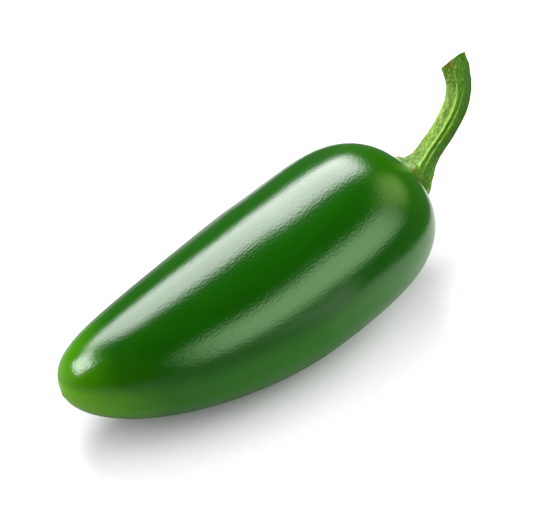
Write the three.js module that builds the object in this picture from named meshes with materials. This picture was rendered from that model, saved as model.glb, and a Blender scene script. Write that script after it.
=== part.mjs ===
// Green chilli pepper lying on its side: a plump, slightly bent pod and its stalk with the calyx.
// Millimetres, +Z up. The origin is the middle of the flat spot that the pod rests on.
// +X runs along the pod from its tip towards the stalk.
import * as THREE from "three";
import { mergeVertices } from "three/addons/utils/BufferGeometryUtils.js";

// Pod size: chord from tip to calyx, and the radius at the widest ring
const POD_LENGTH = 74.8;
const POD_RADIUS = 15;

// Pod outline, as shares of the length and as exponents of the two rounded ends
const WIDEST_AT = 0.558;
const TIP_TAPER = 1.43;
const TIP_ROUNDNESS = 2.37;
const SHOULDER_SQUARENESS = 4.76;
const SHOULDER_ROUNDNESS = 2.04;

// Pod axis: how far each end swings sideways, and how far the stalk end lies above the tip end
const TIP_SWING = 7.2;
const STALK_SWING = 3.9;
const STALK_RISE = 3.1;
const POD_MIDDLE = new THREE.Vector3(-2.8, 0, 14.3);

// The shoulder leans, so that its end face looks a little up and towards -Y
const LEAN_START = 0.55;
const LEAN_SIDE = 0.03;
const LEAN_UP = -0.12;

// The calyx sits in a shallow seat in the middle of the shoulder, a little off the pod's axis
const SEAT_DEPTH = 1.2;
const SEAT_RADIUS = 6.5;
const SEAT_SHIFT_SIDE = -0.6;
const SEAT_SHIFT_UP = -0.4;

// Calyx: a low flared cap with lobes round its rim, resting close on the shoulder
const CALYX_GAP = 0.35;
const CALYX_RADIUS = 4.3;
const CALYX_EDGE = 0.9;
const BULGE_RADIUS = 3.9;
const BULGE_HEIGHT = 1.3;
const CALYX_HEIGHT = 2;
const NECK_RADIUS = 2.9;
const NECK_HEIGHT = 3.2;
const STALK_START = 6.5;
const LOBE_DEPTH = 0.35;

// Stalk: radius along its length, with a ridged section and an oblique cut
const STALK_RADIUS = 2.05;
const FLARE_LENGTH = 6;
const CUT_RADIUS = 2.3;
const CUT_DISH = 0.5;
const CUT_SLOPE = 0.34;
const CUT_BEARING = THREE.MathUtils.degToRad(158);
const CUT_BLEND = 4;
const RIDGES = 5;
const RIDGE_HEIGHT = 0.2;
const RIDGE_BEARING = THREE.MathUtils.degToRad(90);

// The stalk bends in one slanted plane: the bearing of the plane's level line, and the slope up it
const STALK_BEARING = THREE.MathUtils.degToRad(-41);
const STALK_SLOPE = THREE.MathUtils.degToRad(45);

// Route of the stalk from the top of the calyx, along the level line and up the slope
const STALK_ROUTE = [
  [1.2, 1.6],
  [2.7, 4],
  [5.1, 7.6],
  [7.1, 11.6],
  [7.7, 15],
  [7.3, 17.8],
  [6.7, 19.6],
];

// Steps round and along each piece
const POD_SIDES = 64;
const POD_RINGS = 44;
const STALK_SIDES = 40;
const STALK_RINGS = 30;
const CALYX_RINGS = 5;

const UP = new THREE.Vector3(0, 0, 1);
const LEFT = new THREE.Vector3(0, 1, 0);

function podRadius(share) {
  if (share < WIDEST_AT) {
    const toTip = 1 - share / WIDEST_AT;
    return POD_RADIUS * Math.pow(1 - Math.pow(toTip, TIP_TAPER), 1 / TIP_ROUNDNESS);
  }
  const toStalk = (share - WIDEST_AT) / (1 - WIDEST_AT);
  return POD_RADIUS * Math.pow(1 - Math.pow(toStalk, SHOULDER_SQUARENESS), 1 / SHOULDER_ROUNDNESS);
}

// Depth of the shallow seat under the calyx, at a distance from the pod's axis
function seatDepth(radius) {
  return SEAT_DEPTH * Math.exp(-((radius / SEAT_RADIUS) ** 2));
}

// Depth of the shoulder below the pod's end, at a distance from its axis
function shoulderDrop(radius) {
  const toStalk = Math.pow(
    1 - Math.pow(radius / POD_RADIUS, SHOULDER_ROUNDNESS),
    1 / SHOULDER_SQUARENESS,
  );
  return POD_LENGTH * (1 - WIDEST_AT) * (1 - toStalk) + seatDepth(radius);
}

class PodAxis extends THREE.Curve {
  getPoint(share, target = new THREE.Vector3()) {
    const along = 2 * share - 1;
    const bend = (STALK_SWING + TIP_SWING) / 2;
    const bias = (STALK_SWING - TIP_SWING) / 2;
    const swing = bend * along ** 2 + bias * along ** 3;
    return target.set((POD_LENGTH / 2) * along, swing, (STALK_RISE / 2) * along).add(POD_MIDDLE);
  }
}

// Two directions square to a tangent: one close to the sideways direction, and one on top
function frameAlong(tangent, sideways) {
  const top = new THREE.Vector3().crossVectors(tangent, sideways).normalize();
  return { side: new THREE.Vector3().crossVectors(top, tangent), top };
}

// Moves every vertex of a lathed shape to a new place, and welds its seam and poles
function reshape(lathe, place) {
  lathe.deleteAttribute("normal");
  lathe.deleteAttribute("uv");
  const welded = mergeVertices(lathe);
  const position = welded.attributes.position;
  const vertex = new THREE.Vector3();
  for (let i = 0; i < position.count; i += 1) {
    vertex.fromBufferAttribute(position, i);
    const moved = place(vertex);
    position.setXYZ(i, moved.x, moved.y, moved.z);
  }
  welded.computeVertexNormals();
  return welded;
}

const podAxis = new PodAxis();

function podGeometry() {
  const profile = [];
  for (let ring = 0; ring <= POD_RINGS; ring += 1) {
    const share = (1 - Math.cos((Math.PI * ring) / POD_RINGS)) / 2;
    const onAxis = ring === 0 || ring === POD_RINGS;
    profile.push(new THREE.Vector2(onAxis ? 0 : podRadius(share), share));
  }
  return reshape(new THREE.LatheGeometry(profile, POD_SIDES), (vertex) => {
    const share = vertex.y;
    const tangent = podAxis.getTangent(share);
    const { side, top } = frameAlong(tangent, LEFT);
    const lean = THREE.MathUtils.smoothstep(share, LEAN_START, 1);
    const seat = share > WIDEST_AT ? seatDepth(Math.hypot(vertex.x, vertex.z)) : 0;
    const forward = lean * (LEAN_UP * vertex.z - LEAN_SIDE * vertex.x) - seat;
    const place = podAxis.getPoint(share);
    place.addScaledVector(side, -vertex.x);
    place.addScaledVector(top, vertex.z);
    place.addScaledVector(tangent, forward);
    // The flat spot underneath, level with the surface
    place.z = Math.max(place.z, 0);
    return place;
  });
}

// Where the calyx sits on the leaning shoulder, and the direction square to it
function calyxSeat() {
  const tangent = podAxis.getTangent(1);
  const { side, top } = frameAlong(tangent, LEFT);
  const normal = tangent.clone().addScaledVector(side, -LEAN_SIDE).addScaledVector(top, -LEAN_UP);
  const place = podAxis.getPoint(1);
  place.addScaledVector(side, SEAT_SHIFT_SIDE);
  place.addScaledVector(top, SEAT_SHIFT_UP);
  place.addScaledVector(tangent, LEAN_SIDE * SEAT_SHIFT_SIDE + LEAN_UP * SEAT_SHIFT_UP);
  return { place, normal: normal.normalize() };
}

// Two directions that span the stalk's slanted plane, and the direction square to it
function stalkPlane() {
  const level = new THREE.Vector3(Math.cos(STALK_BEARING), Math.sin(STALK_BEARING), 0);
  const slope = new THREE.Vector3().crossVectors(UP, level).multiplyScalar(Math.cos(STALK_SLOPE));
  slope.addScaledVector(UP, Math.sin(STALK_SLOPE));
  return { level, slope, across: new THREE.Vector3().crossVectors(slope, level) };
}

// The stalk's route, which starts a calyx height below the seat so that it leaves square to it
function stalkCurve({ level, slope }) {
  const { place, normal } = calyxSeat();
  const root = place.clone().addScaledVector(normal, -CALYX_HEIGHT);
  const neck = place.clone().addScaledVector(normal, CALYX_HEIGHT);
  const points = STALK_ROUTE.map(([out, rise]) =>
    neck.clone().addScaledVector(level, out).addScaledVector(slope, rise),
  );
  return new THREE.CatmullRomCurve3([root, place, neck, ...points], false, "centripetal");
}

// Outline of calyx and stalk from the hollow under the calyx to the dished cut
function stalkProfile(length) {
  const profile = [];
  for (let ring = 0; ring <= CALYX_RINGS; ring += 1) {
    const radius = (CALYX_RADIUS * ring) / CALYX_RINGS;
    profile.push(new THREE.Vector2(radius, CALYX_GAP - shoulderDrop(radius)));
  }
  const edge = profile[profile.length - 1].y + CALYX_EDGE;
  const flank = new THREE.SplineCurve([
    new THREE.Vector2(CALYX_RADIUS, edge),
    new THREE.Vector2(BULGE_RADIUS, BULGE_HEIGHT),
    new THREE.Vector2(NECK_RADIUS, NECK_HEIGHT),
    new THREE.Vector2(STALK_RADIUS, STALK_START),
    new THREE.Vector2(STALK_RADIUS, length - FLARE_LENGTH),
    new THREE.Vector2(CUT_RADIUS, length),
  ]);
  profile.push(...flank.getPoints(STALK_RINGS));
  profile.push(new THREE.Vector2(CUT_RADIUS / 2, length - CUT_DISH / 2));
  profile.push(new THREE.Vector2(0, length - CUT_DISH));
  return profile;
}

function stemGeometry() {
  const plane = stalkPlane();
  const curve = stalkCurve(plane);
  const route = curve.getLength();
  const length = route - CALYX_HEIGHT;
  return reshape(new THREE.LatheGeometry(stalkProfile(length), STALK_SIDES), (vertex) => {
    const radius = Math.hypot(vertex.x, vertex.z);
    const bearing = Math.atan2(vertex.x, vertex.z);
    // Lobes at the rim fade into the ridges of the stalk
    const wave = Math.cos(RIDGES * (bearing - RIDGE_BEARING));
    const upStalk = THREE.MathUtils.smoothstep(vertex.y, 0, STALK_START);
    const relief = THREE.MathUtils.lerp(LOBE_DEPTH / CALYX_RADIUS, RIDGE_HEIGHT / STALK_RADIUS, upStalk);
    const swell = 1 + relief * wave;
    // The cut end slopes across the stalk
    const cut = THREE.MathUtils.smoothstep(vertex.y, length - CUT_BLEND, length);
    const slant = cut * CUT_SLOPE * radius * Math.cos(bearing - CUT_BEARING);
    const share = Math.min((CALYX_HEIGHT + vertex.y) / route, 1);
    const tangent = curve.getTangentAt(share);
    const { side, top } = frameAlong(tangent, plane.across);
    const place = curve.getPointAt(share);
    place.addScaledVector(side, -vertex.x * swell);
    place.addScaledVector(top, vertex.z * swell);
    place.addScaledVector(tangent, slant);
    return place;
  });
}

const pod = new THREE.Mesh(
  podGeometry(),
  new THREE.MeshStandardMaterial({ color: 0x1e6a08, roughness: 0.25, metalness: 0 }),
);
pod.name = "pod";

const stem = new THREE.Mesh(
  stemGeometry(),
  new THREE.MeshStandardMaterial({ color: 0x6f9a3a, roughness: 0.55, metalness: 0 }),
);
stem.name = "stem";

const pepper = new THREE.Group();
pepper.add(pod, stem);

export default pepper;
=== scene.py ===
import bisect
import math

import bmesh
import bpy
from mathutils import Matrix, Quaternion, Vector, noise


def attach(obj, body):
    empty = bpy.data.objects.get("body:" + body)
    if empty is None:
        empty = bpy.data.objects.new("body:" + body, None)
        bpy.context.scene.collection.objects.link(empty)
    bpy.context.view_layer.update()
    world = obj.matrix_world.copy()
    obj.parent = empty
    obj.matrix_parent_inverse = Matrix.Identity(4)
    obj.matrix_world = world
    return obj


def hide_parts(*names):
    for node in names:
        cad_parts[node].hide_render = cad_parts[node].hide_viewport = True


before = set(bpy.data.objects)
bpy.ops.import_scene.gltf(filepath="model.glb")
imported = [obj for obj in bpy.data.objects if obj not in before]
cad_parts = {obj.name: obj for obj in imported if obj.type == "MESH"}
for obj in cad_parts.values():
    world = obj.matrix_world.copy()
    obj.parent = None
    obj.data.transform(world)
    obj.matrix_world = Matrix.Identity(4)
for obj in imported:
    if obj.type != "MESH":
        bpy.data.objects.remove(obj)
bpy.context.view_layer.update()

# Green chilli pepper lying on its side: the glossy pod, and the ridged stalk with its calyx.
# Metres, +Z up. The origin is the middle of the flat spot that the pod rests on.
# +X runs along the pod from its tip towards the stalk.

MM = 0.001

# Pod: chord from tip to calyx, widest radius, and the exponents of its two rounded ends
POD_LENGTH = 74.8 * MM
POD_RADIUS = 15 * MM
WIDEST_AT = 0.558
TIP_TAPER = 1.43
TIP_ROUNDNESS = 2.37
SHOULDER_SQUARENESS = 4.76
SHOULDER_ROUNDNESS = 2.04

# Pod axis: sideways swing of each end, rise of the stalk end, and the middle of the chord
TIP_SWING = 7.2 * MM
STALK_SWING = 3.9 * MM
STALK_RISE = 3.1 * MM
POD_MIDDLE = Vector((-2.8, 0, 14.3)) * MM

# The shoulder leans, and the calyx sits in a shallow seat a little off the pod's axis
LEAN_START = 0.55
LEAN_SIDE = 0.03
LEAN_UP = -0.12
SEAT_DEPTH = 1.2 * MM
SEAT_RADIUS = 6.5 * MM
SEAT_SHIFT_SIDE = -0.6 * MM
SEAT_SHIFT_UP = -0.4 * MM

# Pod skin relief: slow waves, and furrows that run down the shoulder from the calyx
WAVE_HEIGHT = 0.1 * MM
WAVE_WIDTH = 7 * MM
WAVE_LENGTH = 18 * MM
FURROWS = 6
FURROW_DEPTH = 0.08 * MM
FURROW_START = 0.86
FURROW_SHARPNESS = 3

# Scar of the style at the tip, on the straight pod, brown inside one radius and green outside another
SCAR = Vector((0.22, -1.4, -1.25)) * MM
SCAR_RADIUS = 0.5 * MM
SCAR_HEIGHT = 0.18 * MM
SCAR_BROWN = 0.6 * SCAR_RADIUS
SCAR_GREEN = 1.2 * SCAR_RADIUS

# Pod colour: the lower sides are painted paler and yellower than the top, as painted light from the front
# light and the floor. The round patch at the tip where this painted light and the back blend, how far along
# the pod and how much further up its sides the painted light reaches near the tip, and how uneven the
# colours' edges are
PAINTED_LIGHT_BLEND = 2.5 * MM
PAINTED_LIGHT_TIP_SHARE = 0.22
PAINTED_LIGHT_TIP_RISE = 0.06
UNEVEN_SIZE = 9 * MM
UNEVEN_SHIFT = 0.05

# Pod patterns: mottled flesh and skin grain, both drawn out along the pod
MOTTLE_SIZE = 4 * MM
MOTTLE_STRETCH = (0.25, 1, 1)
MOTTLE_START = 0.35
MOTTLE_AMOUNT = 0.3
GRAIN_SIZE = 0.37 * MM
GRAIN_STRETCH = (0.5, 1, 1)
GRAIN_DEPTH = 0.034 * MM

# Calyx: a low flared cap with lobes round its rim
CALYX_GAP = 0.35 * MM
CALYX_RADIUS = 4.3 * MM
CALYX_EDGE = 0.9 * MM
BULGE_RADIUS = 3.9 * MM
BULGE_HEIGHT = 1.3 * MM
CALYX_HEIGHT = 2 * MM
NECK_RADIUS = 2.9 * MM
NECK_HEIGHT = 3.2 * MM
LOBE_DEPTH = 0.35 * MM
# Heights over the rim's lower edge where its dry brown ends and its green starts
RIM_DRY = 0.9 * CALYX_EDGE
RIM_GREEN = 1.1 * CALYX_EDGE

# Stalk: radii and ridges
STALK_START = 6.5 * MM
STALK_RADIUS = 2.05 * MM
FLARE_LENGTH = 6 * MM
RIDGES = 5
RIDGE_HEIGHT = 0.2 * MM
RIDGE_BEARING = math.radians(90)

# Slanted, dished and ragged cut at the stalk's end. Faces that look along the stalk by more than the
# facing are the cut
CUT_RADIUS = 2.3 * MM
CUT_DISH = 0.5 * MM
CUT_SLOPE = 0.34
CUT_BEARING = math.radians(158)
CUT_BLEND = 4 * MM
CUT_RAGGED = 0.08 * MM
CUT_FACING = 0.1

# Dry brown patch at the edge of the cut
DRY_LENGTH = 1.2 * MM
DRY_BEARING = math.radians(58)
DRY_TURN = math.radians(20)

# Fine relief of the stalk: a pair of ribs with a groove between them, strands, wrinkles and bumps.
# It fades out towards the axis inside a radius
RELIEF_RADIUS = 0.8 * STALK_RADIUS
RIB_BEARING = math.radians(96)
RIB_OFFSET = 0.38 * MM
RIB_SPREAD = 0.4 * MM
RIB_WIDTH = 0.12 * MM
RIB_HEIGHT = 0.16 * MM
GROOVE_SHARE = 0.2
STRAND_WIDTH = 0.7 * MM
STRAND_LENGTH = 7 * MM
STRAND_HEIGHT = 0.06 * MM
WRINKLE_WIDTH = 0.17 * MM
WRINKLE_LENGTH = 0.65 * MM
WRINKLE_HEIGHT = 0.1 * MM
BUMP_SIZE = 0.7 * MM
BUMP_HEIGHT = 0.2 * MM

# Places in the noise, so that wrinkles, bumps and ragged cut differ from each other
WRINKLE_SHIFT = (5, 2)
BUMP_SHIFT = (3, 7)
RAGGED_SHIFT = 9

# Towards the cut, from a share of the stalk's length, the ribs fade and the bumps grow from a small share
NEAR_CUT = 0.6
RIB_FADE = 0.6
BUMP_SHARE = 0.1

# One face of the stalk is more wrinkled than the other and is painted paler as painted light, and the
# wrinkles' tops are painted paler as painted light
WRINKLED_LIT_SIDE_BEARING = math.radians(20)
PAINTED_LIGHT_SIDE_AMOUNT = 0.4
PAINTED_LIGHT_ON_WRINKLES = 0.7
WRINKLE_SWING = 0.3

# The stalk darkens with age between two shares of its length
AGE_START = 0.5
AGE_STOP = 0.9
AGE_AMOUNT = 0.55

# Stalk patterns: the span of the relief's painted light and shade from dark to pale, short fibres drawn out
# along the stalk, with the span of their noise, and the grain of the cut
CREST_DARK = -1
CREST_PALE = 1.4
FIBRE_SIZE = 0.2 * MM
FIBRE_STRETCH = (0.22, 1, 1)
FIBRE_LOW = 0.3
FIBRE_HIGH = 0.7
FIBRE_DEPTH = 0.07 * MM
FIBRE_TONE = 0.12
PITH_SIZE = 0.25 * MM
PITH_SHIFT = 0.2

# The stalk bends in one slanted plane: the bearing of the plane's level line, and the slope up it
STALK_BEARING = math.radians(-41)
STALK_SLOPE = math.radians(45)
# Route of the stalk from the top of the calyx in millimetres, along the level line and up the slope
STALK_ROUTE = [(1.2, 1.6), (2.7, 4), (5.1, 7.6), (7.1, 11.6), (7.7, 15), (7.3, 17.8), (6.7, 19.6)]

# Steps round and along each piece
POD_SIDES = 192
POD_RINGS = 150
STALK_SIDES = 200
STALK_STEP = 0.13 * MM
ROUTE_STEPS = 40
FLANK_STEPS = 30
CALYX_RINGS = 12
CUT_RINGS = 14
WELD = 0.0005 * MM

# Camera: its place round the object, the point that it looks at, and its lens on a 36 mm wide sensor
CAMERA_AZIMUTH = math.radians(-41.1)
CAMERA_ELEVATION = math.radians(45)
CAMERA_DISTANCE = 620.7 * MM
CAMERA_TARGET = Vector((1.37, 2.47, 18.9)) * MM
CAMERA_LENS = 247.3
SENSOR_WIDTH = 36

# Floor, and how far the lights stand from the point that they face
FLOOR_SIZE = 4
PAPER_GRAIN = 2 * MM
LIGHT_DISTANCE = 0.8
LIGHT_TARGET = Vector((0, 0, 12)) * MM

# Softboxes that light the pepper alone. The bearing is from straight behind it, with + to the camera's
# right. Angles are in degrees, and width and height are angles too. The radiance is that of the middle,
# and the feather is the share of the cloth from each edge inwards that darkens
SOFTBOXES = {
    "back": dict(
        bearing=-24, elevation=45, width=80, height=50, radiance=15, feather=0.22, colour="#FFFFFF", roll=22
    ),
    "left": dict(
        bearing=-98, elevation=32, width=44, height=30, radiance=20, feather=0.22, colour="#FFFFFF"
    ),
    "shoulder": dict(
        bearing=58, elevation=27, width=48, height=44, radiance=4, feather=0.4, colour="#D6FF90"
    ),
    "front": dict(
        bearing=120, elevation=25, width=90, height=50, radiance=7.6, feather=0.35, colour="#D4FFC6"
    ),
}
# Softboxes that light the floor alone, so that the shadow is soft and pale
FLOOR_SOFTBOXES = {
    "overhead": dict(
        bearing=-150, elevation=60, width=86, height=86, radiance=2.4, feather=0.05, colour="#FFFFFF"
    ),
    "beyond": dict(
        bearing=60, elevation=28, width=50, height=40, radiance=6, feather=0.2, colour="#FFFFFF"
    ),
    "behind": dict(
        bearing=-25, elevation=56, width=30, height=30, radiance=13, feather=0.2, colour="#FFFFFF"
    ),
}
# Grey sheet just over the floor, seen only in the gloss as painted shade, which fades to the floor's own
# tone towards the stalk
SHEET_SIZE = 1
SHEET_LIFT = 0.02 * MM
SHEET_FADE_START = 8 * MM
SHEET_FADE_STOP = 52 * MM
# Dark card round the back, seen only in the gloss, where it paints a dark reflection on the far rim:
# middle, radius, height, and its ends as bearings from the X axis
CARD_MIDDLE = Vector((-12, 0, 0)) * MM
CARD_RADIUS = 76 * MM
CARD_HEIGHT = 28 * MM
CARD_START = math.radians(-50)
CARD_END = math.radians(120)
CARD_STEPS = 32
STUDIO_RADIANCE = 0.02

UP = Vector((0, 0, 1))
LEFT = Vector((0, 1, 0))


def smoothstep(value, low, high):
    share = min(max((value - low) / (high - low), 0), 1)
    return share * share * (3 - 2 * share)


def frame_along(tangent, sideways):
    """Two directions square to a tangent: one close to the sideways direction, and one on top."""
    top = tangent.cross(sideways).normalized()
    return top.cross(tangent), top


def catmull(points, steps):
    """A smooth line through the points."""
    line = []
    ends = [points[0] * 2 - points[1], *points, points[-1] * 2 - points[-2]]
    for before, start, stop, after in zip(ends, ends[1:], ends[2:], ends[3:]):
        for step in range(steps):
            t = step / steps
            pull = (stop - before) * 0.5
            push = (after - start) * 0.5
            bend = (start - stop) * 2 + pull + push
            line.append(start + pull * t + (stop - start - pull - bend) * t * t + bend * t ** 3)
    return [*line, points[-1]]


def running_length(line):
    """Distance from the start of a line to each of its points."""
    total = [0.0]
    for a, b in zip(line, line[1:]):
        total.append(total[-1] + (b - a).length)
    return total


def at_distance(line, total, distance):
    """The point at a distance along a line, and the direction there."""
    last = min(max(bisect.bisect_right(total, distance), 1), len(line) - 1)
    step = line[last] - line[last - 1]
    share = (distance - total[last - 1]) / (total[last] - total[last - 1])
    return line[last - 1] + step * share, step.normalized()


# Pod

def pod_radius(share):
    if share < WIDEST_AT:
        to_tip = 1 - share / WIDEST_AT
        return POD_RADIUS * (1 - to_tip ** TIP_TAPER) ** (1 / TIP_ROUNDNESS)
    to_stalk = (share - WIDEST_AT) / (1 - WIDEST_AT)
    return POD_RADIUS * (1 - to_stalk ** SHOULDER_SQUARENESS) ** (1 / SHOULDER_ROUNDNESS)


def seat_depth(radius):
    return SEAT_DEPTH * math.exp(-((radius / SEAT_RADIUS) ** 2))


def shoulder_drop(radius):
    """Depth of the shoulder below the pod's end, at a distance from its axis."""
    to_stalk = (1 - (radius / POD_RADIUS) ** SHOULDER_ROUNDNESS) ** (1 / SHOULDER_SQUARENESS)
    return POD_LENGTH * (1 - WIDEST_AT) * (1 - to_stalk) + seat_depth(radius)


def pod_axis(share):
    """The point on the pod's axis at a share of its length, and the direction there."""
    along = 2 * share - 1
    bend = (STALK_SWING + TIP_SWING) / 2
    bias = (STALK_SWING - TIP_SWING) / 2
    swing = bend * along ** 2 + bias * along ** 3
    place = Vector((POD_LENGTH / 2 * along, swing, STALK_RISE / 2 * along))
    slope = Vector((POD_LENGTH / 2, 2 * bend * along + 3 * bias * along ** 2, STALK_RISE / 2))
    return POD_MIDDLE + place, slope.normalized()


def pod_relief(straight):
    """Height of the skin over the plain form: slow waves everywhere, furrows at the shoulder."""
    share = straight.x / POD_LENGTH
    waves = Vector((straight.x / WAVE_LENGTH, straight.y / WAVE_WIDTH, straight.z / WAVE_WIDTH))
    bearing = math.atan2(-straight.y, straight.z)
    furrow = max(0, math.cos(FURROWS * bearing)) ** FURROW_SHARPNESS
    furrow *= smoothstep(share, FURROW_START, 1)
    return WAVE_HEIGHT * noise.noise(waves) - FURROW_DEPTH * furrow


def place_pod(straight):
    """Where a point of the straight pod lies on the bent one."""
    share = straight.x / POD_LENGTH
    centre, tangent = pod_axis(share)
    side, top = frame_along(tangent, LEFT)
    radius = math.hypot(straight.y, straight.z)
    swell = 1 + pod_relief(straight) / POD_RADIUS
    forward = smoothstep(share, LEAN_START, 1) * (LEAN_UP * straight.z + LEAN_SIDE * straight.y)
    forward -= SCAR_HEIGHT * math.exp(-(((straight - SCAR).length / SCAR_RADIUS) ** 2))
    if share > WIDEST_AT:
        forward -= seat_depth(radius)
    place = centre + (side * straight.y + top * straight.z) * swell + tangent * forward
    # The flat spot underneath, level with the floor
    place.z = max(place.z, 0)
    return place


def spun(profile, sides):
    """A closed mesh turned about the X axis from a profile of (along, radius) pairs."""
    mesh = bmesh.new()
    ring = [mesh.verts.new((along, 0, radius)) for along, radius in profile]
    edges = [mesh.edges.new(pair) for pair in zip(ring, ring[1:])]
    bmesh.ops.spin(
        mesh,
        geom=ring + edges,
        cent=(0, 0, 0),
        axis=(1, 0, 0),
        angle=math.tau,
        steps=sides,
        use_merge=True,
    )
    bmesh.ops.remove_doubles(mesh, verts=mesh.verts, dist=WELD)
    bmesh.ops.recalc_face_normals(mesh, faces=mesh.faces)
    return mesh


def finish_piece(name, mesh, materials, node):
    """Makes the mesh a smooth piece that stands for a node and rides on the part's one body."""
    data = bpy.data.meshes.new(name)
    mesh.to_mesh(data)
    mesh.free()
    data.shade_smooth()
    for material in materials:
        data.materials.append(material)
    piece = bpy.data.objects.new(name, data)
    bpy.context.scene.collection.objects.link(piece)
    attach(piece, "root")
    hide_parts(node)
    return piece


def make_pod():
    shares = [(1 - math.cos(math.pi * ring / POD_RINGS)) / 2 for ring in range(POD_RINGS + 1)]
    profile = [(share * POD_LENGTH, pod_radius(share)) for share in shares]
    profile[0] = (0, 0)
    profile[-1] = (POD_LENGTH, 0)
    mesh = spun(profile, POD_SIDES)
    grown = mesh.verts.layers.float_vector.new("grown")
    for vert in mesh.verts:
        vert[grown] = vert.co
        vert.co = place_pod(vert.co)
    return finish_piece("pod_skin", mesh, [chilli_skin()], "pod")


# Stalk and calyx

def calyx_seat():
    """Where the calyx sits on the leaning shoulder, and the direction square to it."""
    centre, tangent = pod_axis(1)
    side, top = frame_along(tangent, LEFT)
    forward = LEAN_SIDE * SEAT_SHIFT_SIDE + LEAN_UP * SEAT_SHIFT_UP
    place = centre + side * SEAT_SHIFT_SIDE + top * SEAT_SHIFT_UP + tangent * forward
    return place, (tangent - side * LEAN_SIDE - top * LEAN_UP).normalized()


def stalk_line():
    """The stalk's centre line, from a calyx height below its seat, and the direction across its plane."""
    level = Vector((math.cos(STALK_BEARING), math.sin(STALK_BEARING), 0))
    slope = UP.cross(level) * math.cos(STALK_SLOPE) + UP * math.sin(STALK_SLOPE)
    place, normal = calyx_seat()
    neck = place + normal * CALYX_HEIGHT
    route = [neck + (level * out + slope * rise) * MM for out, rise in STALK_ROUTE]
    return catmull([place - normal * CALYX_HEIGHT, place, neck, *route], ROUTE_STEPS), slope.cross(level)


def stalk_profile(length):
    """Outline from the hollow under the calyx to the middle of the dished cut."""
    under = []
    for ring in range(CALYX_RINGS + 1):
        radius = CALYX_RADIUS * ring / CALYX_RINGS
        under.append((CALYX_GAP - shoulder_drop(radius), radius))
    flank = catmull(
        [
            Vector((under[-1][0] + CALYX_EDGE, CALYX_RADIUS)),
            Vector((BULGE_HEIGHT, BULGE_RADIUS)),
            Vector((NECK_HEIGHT, NECK_RADIUS)),
            Vector((STALK_START, STALK_RADIUS)),
            Vector((length - FLARE_LENGTH, STALK_RADIUS)),
            Vector((length, CUT_RADIUS)),
        ],
        FLANK_STEPS,
    )
    total = running_length(flank)
    rings = round(total[-1] / STALK_STEP)
    outside = [at_distance(flank, total, total[-1] * ring / rings)[0] for ring in range(rings + 1)]
    cut = []
    for ring in range(1, CUT_RINGS + 1):
        inward = ring / CUT_RINGS
        cut.append((length - CUT_DISH * inward, CUT_RADIUS * (1 - inward)))
    return [*under, *((point.x, point.y) for point in outside), *cut]


def stalk_relief(height, bearing, length):
    """Heights of the stalk's broad ridges and fine relief, and its painted light: crests paler, grooves
    darker as painted shade, one face paler.
    """
    ridge = math.cos(RIDGES * (bearing - RIDGE_BEARING))
    up_stalk = smoothstep(height, 0, STALK_START)
    near_cut = smoothstep(height, NEAR_CUT * length, length)
    broad = (LOBE_DEPTH * (1 - up_stalk) + RIDGE_HEIGHT * up_stalk) * ridge
    turn = (bearing - RIB_BEARING + math.pi) % math.tau - math.pi
    offset = RIB_OFFSET + RIB_SPREAD * near_cut
    ribs = 0
    for middle, rise in ((-offset, 1), (0, -GROOVE_SHARE), (offset, 1)):
        ribs += rise * math.exp(-(((turn * STALK_RADIUS - middle) / RIB_WIDTH) ** 2))
    ribs *= up_stalk * (1 - RIB_FADE * near_cut)
    around = Vector((0, math.sin(bearing), math.cos(bearing))) * STALK_RADIUS
    strand = noise.noise(around / STRAND_WIDTH + Vector((height / STRAND_LENGTH, 0, 0)))
    wrinkled_lit_side = math.cos(bearing - WRINKLED_LIT_SIDE_BEARING)
    wrinkle = noise.noise(around / WRINKLE_WIDTH + Vector((height / WRINKLE_LENGTH, *WRINKLE_SHIFT)))
    wrinkle *= 1 - WRINKLE_SWING + WRINKLE_SWING * wrinkled_lit_side
    bump = noise.noise(around / BUMP_SIZE + Vector((height / BUMP_SIZE, *BUMP_SHIFT)))
    lines = RIB_HEIGHT * ribs + STRAND_HEIGHT * strand
    bumpy = BUMP_SHARE + (1 - BUMP_SHARE) * near_cut
    rough = WRINKLE_HEIGHT * wrinkle + BUMP_HEIGHT * max(0, bump) * bumpy
    # Painted light: crests painted paler and grooves darker as painted shade, the strands' own tone, and
    # one face painted paler
    pale = lines / RIB_HEIGHT + PAINTED_LIGHT_ON_WRINKLES * wrinkle + PAINTED_LIGHT_SIDE_AMOUNT * wrinkled_lit_side * up_stalk
    return broad, lines + rough, pale


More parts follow.
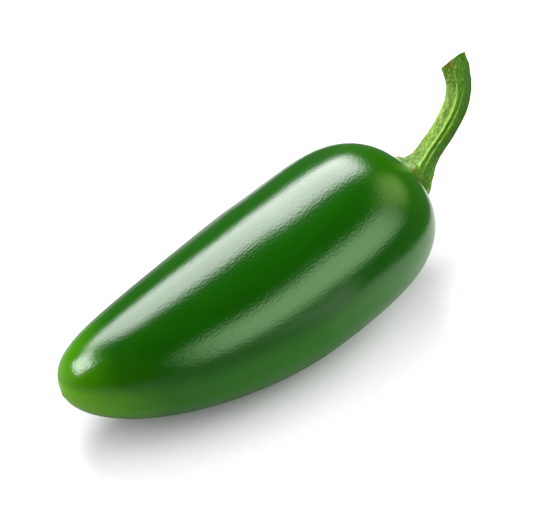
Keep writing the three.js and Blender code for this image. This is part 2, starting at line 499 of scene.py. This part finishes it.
def make_stem():
    line, across = stalk_line()
    total = running_length(line)
    length = total[-1] - CALYX_HEIGHT
    mesh = spun(stalk_profile(length), STALK_SIDES)
    grown = mesh.verts.layers.float_vector.new("grown")
    strand_tone_and_painted_light = mesh.verts.layers.float.new("strand_tone_and_painted_light")
    age = mesh.verts.layers.float.new("age")
    dry = mesh.verts.layers.float.new("dry")
    rim = CALYX_GAP - shoulder_drop(CALYX_RADIUS)
    for face in mesh.faces:
        on_cut = face.calc_center_median().x > length - CUT_DISH and face.normal.x > CUT_FACING
        face.material_index = 1 if on_cut else 0
    for vert in mesh.verts:
        straight = vert.co.copy()
        height = straight.x
        radius = math.hypot(straight.y, straight.z)
        bearing = math.atan2(-straight.y, straight.z)
        broad, fine, pale = stalk_relief(height, bearing, length)
        shown = smoothstep(radius, 0, RELIEF_RADIUS)
        at_rim = 1 - smoothstep(height, rim + RIM_DRY, rim + RIM_GREEN)
        patch = math.exp(-(((bearing - DRY_BEARING) / DRY_TURN) ** 2))
        at_cut = smoothstep(height, length - DRY_LENGTH, length) * patch
        vert[grown] = straight
        vert[strand_tone_and_painted_light] = pale
        vert[age] = smoothstep(height, AGE_START * length, AGE_STOP * length)
        vert[dry] = max(at_rim, at_cut)
        swell = 1 + broad / max(STALK_RADIUS, radius) + shown * fine / max(radius, WELD)
        ragged = CUT_RAGGED * noise.noise(Vector((RAGGED_SHIFT, straight.y, straight.z)) / BUMP_SIZE)
        cut = smoothstep(height, length - CUT_BLEND, length)
        slant = cut * (CUT_SLOPE * radius * math.cos(bearing - CUT_BEARING) + ragged)
        centre, tangent = at_distance(line, total, CALYX_HEIGHT + height)
        side, top = frame_along(tangent, across)
        vert.co = centre + (side * straight.y + top * straight.z) * swell + tangent * slant
    return finish_piece("stem_rind", mesh, [stalk_rind(), stalk_cut()], "stem")


# Materials

def linear(colour):
    """An sRGB hex colour as linear red, green, blue and alpha."""
    values = [int(colour[i:i + 2], 16) / 255 for i in (1, 3, 5)]
    return [v / 12.92 if v <= 0.04045 else ((v + 0.055) / 1.055) ** 2.4 for v in values] + [1]


def add(tree, kind, inputs=None, stops=None, **settings):
    """Adds a node with its settings, its input values or links, and the stops of its colour ramp."""
    node = tree.nodes.new(kind)
    for name, value in settings.items():
        setattr(node, name, value)
    for name, value in (inputs or {}).items():
        if isinstance(value, bpy.types.NodeSocket):
            tree.links.new(value, node.inputs[name])
        else:
            node.inputs[name].default_value = value
    for index, (place, colour) in enumerate(stops or []):
        elements = node.color_ramp.elements
        element = elements[index] if index < 2 else elements.new(place)
        element.position = place
        element.color = linear(colour)
    return node


def new_material(name):
    material = bpy.data.materials.new(name)
    material.use_nodes = True
    return material, material.node_tree, material.node_tree.nodes["Principled BSDF"]


# Places of a colour Mix node's sockets
MIX_FACTOR, MIX_A, MIX_B, MIX_RESULT = 0, 6, 7, 2


def chilli_skin():
    """Living chilli skin under its own wax, so it is deep green, glossy and finely streaked.

    The green is yellower at the tip and at the shoulder, and the lower sides are painted paler and yellower
    as painted light.
    """
    material, tree, shader = new_material("chilli_skin_waxy")
    grown = add(tree, "ShaderNodeAttribute", attribute_name="grown").outputs["Vector"]
    # Colour runs along the pod, with uneven edges, and the lower sides are painted paler and yellower than
    # the top as painted light
    uneven = add(tree, "ShaderNodeTexNoise", {"Vector": grown, "Scale": 1 / UNEVEN_SIZE, "Detail": 2})
    parts = add(tree, "ShaderNodeSeparateXYZ", {"Vector": grown})
    share = add(tree, "ShaderNodeMath", {0: parts.outputs["X"], 1: 1 / POD_LENGTH}, operation="MULTIPLY")
    edges = {"Value": uneven.outputs["Fac"], "To Min": -UNEVEN_SHIFT, "To Max": UNEVEN_SHIFT}
    shift = add(tree, "ShaderNodeMapRange", edges).outputs["Result"]
    place = add(tree, "ShaderNodeMath", {0: share.outputs[0], 1: shift}, operation="ADD")
    back = add(
        tree,
        "ShaderNodeValToRGB",
        {"Fac": place.outputs[0]},
        stops=[(0, "#2E5C00"), (0.04, "#225000"), (0.12, "#083200"), (0.8, "#083200"), (1, "#1E4800")],
    )
    # Colour of the lower sides, painted paler and yellower as painted light
    front = add(
        tree,
        "ShaderNodeValToRGB",
        {"Fac": place.outputs[0]},
        stops=[(0, "#66960A"), (0.08, "#487C00"), (0.2, "#205600"), (0.85, "#245800"), (1, "#2C5600")],
    )
    around = add(tree, "ShaderNodeVectorMath", {0: grown, 1: (0, 1, 1)}, operation="MULTIPLY")
    radius = add(tree, "ShaderNodeVectorMath", {0: around.outputs[0]}, operation="LENGTH")
    reach = add(tree, "ShaderNodeMath", {0: radius.outputs["Value"], 1: PAINTED_LIGHT_BLEND}, operation="ADD")
    upward = add(tree, "ShaderNodeMath", {0: parts.outputs["Z"], 1: reach.outputs[0]}, operation="DIVIDE")
    height = add(tree, "ShaderNodeMapRange", {"Value": upward.outputs[0], "From Min": -1})
    # Towards the tip the painted light of the lower sides reaches higher up
    tip = add(
        tree,
        "ShaderNodeMapRange",
        {
            "Value": share.outputs[0],
            "From Max": PAINTED_LIGHT_TIP_SHARE,
            "To Min": -PAINTED_LIGHT_TIP_RISE,
            "To Max": 0,
        },
    ).outputs["Result"]
    level = add(tree, "ShaderNodeMath", {0: height.outputs["Result"], 1: tip}, operation="ADD")
    # Share of the painted light by height up the sides: most on the lower sides, none on top
    painted_light_share = add(
        tree,
        "ShaderNodeValToRGB",
        {"Fac": level.outputs[0]},
        stops=[
            (0.41, "#CBCBCB"),
            (0.55, "#BCBCBC"),
            (0.64, "#626262"),
            (0.72, "#5A5A5A"),
            (0.85, "#000000"),
        ],
    )
    body = add(
        tree,
        "ShaderNodeMix",
        {
            MIX_FACTOR: painted_light_share.outputs["Color"],
            MIX_A: back.outputs["Color"],
            MIX_B: front.outputs["Color"],
        },
        data_type="RGBA",
    )
    # Faint lengthwise mottling of the flesh under the skin
    drawn = add(tree, "ShaderNodeVectorMath", {0: grown, 1: MOTTLE_STRETCH}, operation="MULTIPLY")
    mottle = add(
        tree, "ShaderNodeTexNoise", {"Vector": drawn.outputs[0], "Scale": 1 / MOTTLE_SIZE, "Detail": 3}
    )
    faint = {"Value": mottle.outputs["Fac"], "From Min": MOTTLE_START, "To Max": MOTTLE_AMOUNT}
    amount = add(tree, "ShaderNodeMapRange", faint).outputs["Result"]
    colour = add(
        tree,
        "ShaderNodeMix",
        {MIX_FACTOR: amount, MIX_A: body.outputs[MIX_RESULT], MIX_B: linear("#124600")},
        data_type="RGBA",
    )
    # The scar at the tip is dry and brown
    away = add(tree, "ShaderNodeVectorMath", {0: grown, 1: SCAR}, operation="DISTANCE").outputs["Value"]
    near = {"Value": away, "From Min": SCAR_GREEN, "From Max": SCAR_BROWN}
    scar = add(tree, "ShaderNodeMapRange", near).outputs["Result"]
    scarred = add(
        tree,
        "ShaderNodeMix",
        {MIX_FACTOR: scar, MIX_A: colour.outputs[MIX_RESULT], MIX_B: linear("#6A5A14")},
        data_type="RGBA",
    )
    # Fine grain drawn out lengthwise, which breaks the edges of the highlights. The skin's own cells are
    # finer than the render can show, so the grain is drawn about 0.4 mm wide
    combed = add(tree, "ShaderNodeVectorMath", {0: grown, 1: GRAIN_STRETCH}, operation="MULTIPLY")
    grain = add(
        tree, "ShaderNodeTexNoise", {"Vector": combed.outputs[0], "Scale": 1 / GRAIN_SIZE, "Detail": 2}
    )
    relief = add(
        tree, "ShaderNodeBump", {"Height": grain.outputs["Fac"], "Strength": 1, "Distance": GRAIN_DEPTH}
    )
    tree.links.new(scarred.outputs[MIX_RESULT], shader.inputs["Base Color"])
    tree.links.new(relief.outputs["Normal"], shader.inputs["Normal"])
    shader.inputs["Roughness"].default_value = 0.17
    shader.inputs["IOR"].default_value = 1.39
    return material


def stalk_rind():
    """Fibrous chilli stalk: satin green with paler strands, painted light and shade on its relief and one
    face, darker with age, dry brown at its edges.
    """
    material, tree, shader = new_material("chilli_stalk_fibrous")
    grown = add(tree, "ShaderNodeAttribute", attribute_name="grown").outputs["Vector"]
    strand_tone_and_painted_light = add(tree, "ShaderNodeAttribute", attribute_name="strand_tone_and_painted_light").outputs["Fac"]
    age = add(tree, "ShaderNodeAttribute", attribute_name="age").outputs["Fac"]
    dry = add(tree, "ShaderNodeAttribute", attribute_name="dry").outputs["Fac"]
    # Short fibres. The real ones are too fine to show, so they are drawn about 0.2 mm wide
    drawn = add(tree, "ShaderNodeVectorMath", {0: grown, 1: FIBRE_STRETCH}, operation="MULTIPLY")
    fibre = add(
        tree, "ShaderNodeTexNoise", {"Vector": drawn.outputs[0], "Scale": 1 / FIBRE_SIZE, "Detail": 2}
    )
    spread = add(
        tree,
        "ShaderNodeMapRange",
        {
            "Value": fibre.outputs["Fac"],
            "From Min": FIBRE_LOW,
            "From Max": FIBRE_HIGH,
            "To Min": -FIBRE_TONE,
            "To Max": FIBRE_TONE,
        },
    ).outputs["Result"]
    # The painted light and shade of the relief and of the paler face set the green's tone
    span = {"Value": strand_tone_and_painted_light, "From Min": CREST_DARK, "From Max": CREST_PALE}
    height = add(tree, "ShaderNodeMapRange", span).outputs["Result"]
    tone = add(tree, "ShaderNodeMath", {0: height, 1: spread}, operation="ADD")
    green = add(
        tree,
        "ShaderNodeValToRGB",
        {"Fac": tone.outputs[0]},
        stops=[(0.1, "#162C00"), (0.45, "#385600"), (0.9, "#809C42")],
    )
    part_aged = add(tree, "ShaderNodeMath", {0: age, 1: AGE_AMOUNT}, operation="MULTIPLY")
    aged = add(
        tree,
        "ShaderNodeMix",
        {MIX_FACTOR: part_aged.outputs[0], MIX_A: green.outputs["Color"], MIX_B: linear("#2E4C00")},
        data_type="RGBA",
    )
    colour = add(
        tree,
        "ShaderNodeMix",
        {MIX_FACTOR: dry, MIX_A: aged.outputs[MIX_RESULT], MIX_B: linear("#4E3806")},
        data_type="RGBA",
    )
    relief = add(
        tree, "ShaderNodeBump", {"Height": fibre.outputs["Fac"], "Strength": 1, "Distance": FIBRE_DEPTH}
    )
    tree.links.new(colour.outputs[MIX_RESULT], shader.inputs["Base Color"])
    tree.links.new(relief.outputs["Normal"], shader.inputs["Normal"])
    shader.inputs["Roughness"].default_value = 0.42
    shader.inputs["IOR"].default_value = 1.33
    shader.inputs["Specular IOR Level"].default_value = 0.3
    return material


def stalk_cut():
    """Cut and dried end of the stalk: pale pith inside a brown, fibrous ring, quite dull."""
    material, tree, shader = new_material("chilli_stalk_cut_dry")
    grown = add(tree, "ShaderNodeAttribute", attribute_name="grown").outputs["Vector"]
    flat = add(tree, "ShaderNodeVectorMath", {0: grown, 1: (0, 1, 1)}, operation="MULTIPLY")
    radius = add(tree, "ShaderNodeVectorMath", {0: flat.outputs[0]}, operation="LENGTH").outputs["Value"]
    share = add(tree, "ShaderNodeMath", {0: radius, 1: 1 / CUT_RADIUS}, operation="MULTIPLY")
    grain = add(tree, "ShaderNodeTexNoise", {"Vector": grown, "Scale": 1 / PITH_SIZE, "Detail": 3})
    edges = {"Value": grain.outputs["Fac"], "To Min": -PITH_SHIFT, "To Max": PITH_SHIFT}
    spread = add(tree, "ShaderNodeMapRange", edges).outputs["Result"]
    place = add(tree, "ShaderNodeMath", {0: share.outputs[0], 1: spread}, operation="ADD")
    ring = add(
        tree,
        "ShaderNodeValToRGB",
        {"Fac": place.outputs[0]},
        stops=[(0.3, "#8C8A54"), (0.6, "#74783A"), (0.8, "#5C4C20"), (1, "#443416")],
    )
    tree.links.new(ring.outputs["Color"], shader.inputs["Base Color"])
    shader.inputs["Roughness"].default_value = 0.8
    return material


def floor_paper():
    """Matt studio paper, so the floor is pale and even."""
    material, tree, shader = new_material("floor_paper_matt")
    spot = add(tree, "ShaderNodeTexCoord").outputs["Object"]
    grain = add(tree, "ShaderNodeTexNoise", {"Vector": spot, "Scale": 1 / PAPER_GRAIN, "Detail": 2})
    tone = add(
        tree, "ShaderNodeValToRGB", {"Fac": grain.outputs["Fac"]}, stops=[(0, "#E4E4E4"), (1, "#E8E8E8")]
    )
    tree.links.new(tone.outputs["Color"], shader.inputs["Base Color"])
    shader.inputs["Roughness"].default_value = 1
    shader.inputs["Specular IOR Level"].default_value = 0
    return material


def painted_shade_sheet():
    """Grey felt that fades to paper white, a painted shade in the floor's reflection so that the gloss
    under the pod is dim.
    """
    material, tree, shader = new_material("painted_shade_sheet_grey")
    spot = add(tree, "ShaderNodeTexCoord").outputs["Object"]
    along = add(tree, "ShaderNodeSeparateXYZ", {"Vector": spot}).outputs["X"]
    span = {"Value": along, "From Min": SHEET_FADE_START, "From Max": SHEET_FADE_STOP}
    fade = add(tree, "ShaderNodeMapRange", span).outputs["Result"]
    # Painted shade: grey under the pod, paper white towards the stalk
    tone = add(tree, "ShaderNodeValToRGB", {"Fac": fade}, stops=[(0, "#8A8A8A"), (1, "#E6E6E6")])
    tree.links.new(tone.outputs["Color"], shader.inputs["Base Color"])
    shader.inputs["Roughness"].default_value = 1
    shader.inputs["Specular IOR Level"].default_value = 0
    return material


def painted_reflection_card():
    """Dark grey felt for a painted dark reflection, which sends back little light."""
    material, _, shader = new_material("painted_reflection_card_dark")
    shader.inputs["Base Color"].default_value = linear("#6E6E6E")
    shader.inputs["Roughness"].default_value = 1
    shader.inputs["Specular IOR Level"].default_value = 0
    return material


# Stage: floor, camera, lights and surroundings

def camera_axes():
    """Right, up and back of the camera."""
    level = math.cos(CAMERA_ELEVATION)
    back = Vector(
        (math.sin(CAMERA_AZIMUTH) * level, -math.cos(CAMERA_AZIMUTH) * level, math.sin(CAMERA_ELEVATION))
    )
    right = Vector((math.cos(CAMERA_AZIMUTH), math.sin(CAMERA_AZIMUTH), 0))
    return right, back.cross(right), back


def make_camera():
    right, up, back = camera_axes()
    data = bpy.data.cameras.new("camera")
    data.lens = CAMERA_LENS
    data.sensor_width = SENSOR_WIDTH
    camera = bpy.data.objects.new("camera", data)
    place = CAMERA_TARGET + back * CAMERA_DISTANCE
    camera.matrix_world = Matrix.Translation(place) @ Matrix((right, up, back)).transposed().to_4x4()
    bpy.context.scene.collection.objects.link(camera)
    bpy.context.scene.camera = camera


def make_softbox(name, bearing, elevation, width, height, radiance, feather, colour, roll=0):
    """An area light that faces the pepper and fills the given angles from there, dimmer at its edges."""
    right, _, back = camera_axes()
    away = Vector((-back.x, -back.y, 0)).normalized()
    turn = math.radians(bearing)
    tilt = math.radians(elevation)
    toward = (away * math.cos(turn) + right * math.sin(turn)) * math.cos(tilt) + UP * math.sin(tilt)
    light = bpy.data.lights.new("softbox_" + name, "AREA")
    light.shape = "RECTANGLE"
    light.size = 2 * LIGHT_DISTANCE * math.tan(math.radians(width / 2))
    light.size_y = 2 * LIGHT_DISTANCE * math.tan(math.radians(height / 2))
    light.energy = radiance * math.pi * light.size * light.size_y
    light.color = linear(colour)[:3]
    light.use_nodes = True
    tree = light.node_tree
    spot = add(tree, "ShaderNodeNewGeometry").outputs["Parametric"]
    across = add(tree, "ShaderNodeSeparateXYZ", {"Vector": spot})
    fades = []
    for axis in "XY":
        # Way in from the nearest edge, from 0 to a half
        inward = add(tree, "ShaderNodeMath", {0: across.outputs[axis], 1: 0.5}, operation="PINGPONG")
        span = {"Value": inward.outputs[0], "From Max": feather}
        fade = add(tree, "ShaderNodeMapRange", span, interpolation_type="SMOOTHSTEP")
        fades.append(fade.outputs["Result"])
    cloth = add(tree, "ShaderNodeMath", {0: fades[0], 1: fades[1]}, operation="MULTIPLY")
    tree.links.new(cloth.outputs[0], tree.nodes["Emission"].inputs["Strength"])
    lamp = bpy.data.objects.new(light.name, light)
    lamp.location = LIGHT_TARGET + toward * LIGHT_DISTANCE
    aim = toward.to_track_quat("Z", "Y") @ Quaternion((0, 0, 1), math.radians(roll))
    lamp.rotation_euler = aim.to_euler()
    bpy.context.scene.collection.objects.link(lamp)
    return lamp


def stage_piece(name, mesh, material):
    """Makes the mesh an object in the scene, with one material."""
    data = bpy.data.meshes.new(name)
    mesh.to_mesh(data)
    mesh.free()
    data.materials.append(material)
    piece = bpy.data.objects.new(name, data)
    bpy.context.scene.collection.objects.link(piece)
    return piece


def gloss_only(piece):
    """Hides a piece of the stage from all but the gloss."""
    piece.visible_camera = False
    piece.visible_diffuse = False
    piece.visible_shadow = False
    return piece


def make_card():
    """A low dark card that the gloss alone sees, a painted dark reflection which keeps the far rim of the
    pod dark.
    """
    mesh = bmesh.new()
    foot = CARD_MIDDLE + Vector((math.cos(CARD_START), math.sin(CARD_START), 0)) * CARD_RADIUS
    ends = [mesh.verts.new(foot), mesh.verts.new(foot + UP * CARD_HEIGHT)]
    edge = mesh.edges.new(ends)
    turn = CARD_END - CARD_START
    bmesh.ops.spin(mesh, geom=[*ends, edge], cent=CARD_MIDDLE, axis=UP, angle=turn, steps=CARD_STEPS)
    return gloss_only(stage_piece("card", mesh, painted_reflection_card()))


def make_sheet():
    """A grey sheet that the gloss alone sees over the floor, a painted shade in its reflection so that the
    underside stays deep green.
    """
    mesh = bmesh.new()
    lift = Matrix.Translation(UP * SHEET_LIFT)
    bmesh.ops.create_grid(mesh, x_segments=1, y_segments=1, size=SHEET_SIZE / 2, matrix=lift)
    return gloss_only(stage_piece("sheet", mesh, painted_shade_sheet()))


def make_floor():
    mesh = bmesh.new()
    bmesh.ops.create_grid(mesh, x_segments=1, y_segments=1, size=FLOOR_SIZE / 2)
    return stage_piece("floor", mesh, floor_paper())


def light_only(softboxes, pieces):
    """Makes softboxes whose light falls on the given pieces alone."""
    lit = bpy.data.collections.new("lit")
    for piece in pieces:
        lit.objects.link(piece)
    for name, box in softboxes.items():
        make_softbox(name, **box).light_linking.receiver_collection = lit


def make_surround():
    """A dark studio, so that the lights alone show in the gloss."""
    world = bpy.data.worlds.new("studio")
    world.use_nodes = True
    background = world.node_tree.nodes["Background"]
    background.inputs["Color"].default_value = linear("#FFFFFF")
    background.inputs["Strength"].default_value = STUDIO_RADIANCE
    bpy.context.scene.world = world
    # A plain view, so that the pale floor comes out white
    bpy.context.scene.view_settings.view_transform = "Standard"


make_camera()
make_surround()
light_only(SOFTBOXES, [make_pod(), make_stem()])
light_only(FLOOR_SOFTBOXES, [make_floor(), make_sheet()])
make_card()
